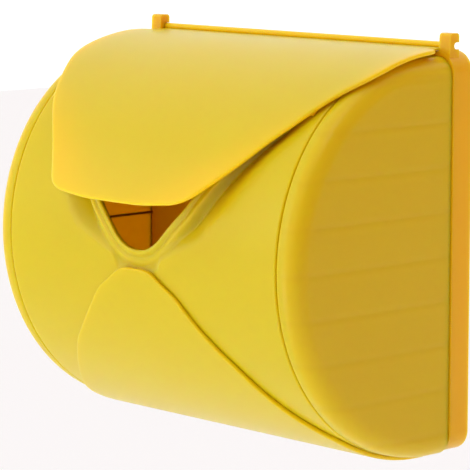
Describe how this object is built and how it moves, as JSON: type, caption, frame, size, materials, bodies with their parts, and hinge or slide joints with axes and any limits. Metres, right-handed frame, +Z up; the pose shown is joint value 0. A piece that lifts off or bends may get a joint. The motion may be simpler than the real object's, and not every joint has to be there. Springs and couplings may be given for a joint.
{
  "type": "play letterbox",
  "caption": "Wall-hung half-round play letterbox in the form of an envelope, with a hinged curved lid as top flap over a V-shaped posting opening.",
  "frame": {"origin": "middle of the rear face, which is also the middle of the four wall screw holes", "axes": "+Z up, +Y out of the rear face into the wall, X across the box"},
  "size_m": [0.266, 0.1623, 0.2495],
  "materials": {
    "yellow_plastic": "satin moulded polypropylene, fine grain",
    "screw_steel": "zinc plated"
  },
  "bodies": {
    "root": {"back_tray": "yellow_plastic", "front_shell": "yellow_plastic", "end_cap_left": "yellow_plastic", "end_cap_right": "yellow_plastic", "bottom_flap": "yellow_plastic", "cap_screws": "screw_steel", "shell_screws": "screw_steel"},
    "lid": {"lid": "yellow_plastic"}
  },
  "joints": [
    {"name": "lid_hinge", "type": "hinge", "parent": "root", "child": "lid", "pos_m": [0, -0.0093, 0.1207], "axis": [-1, 0, 0], "range_deg": [0, 100]}
  ]
}
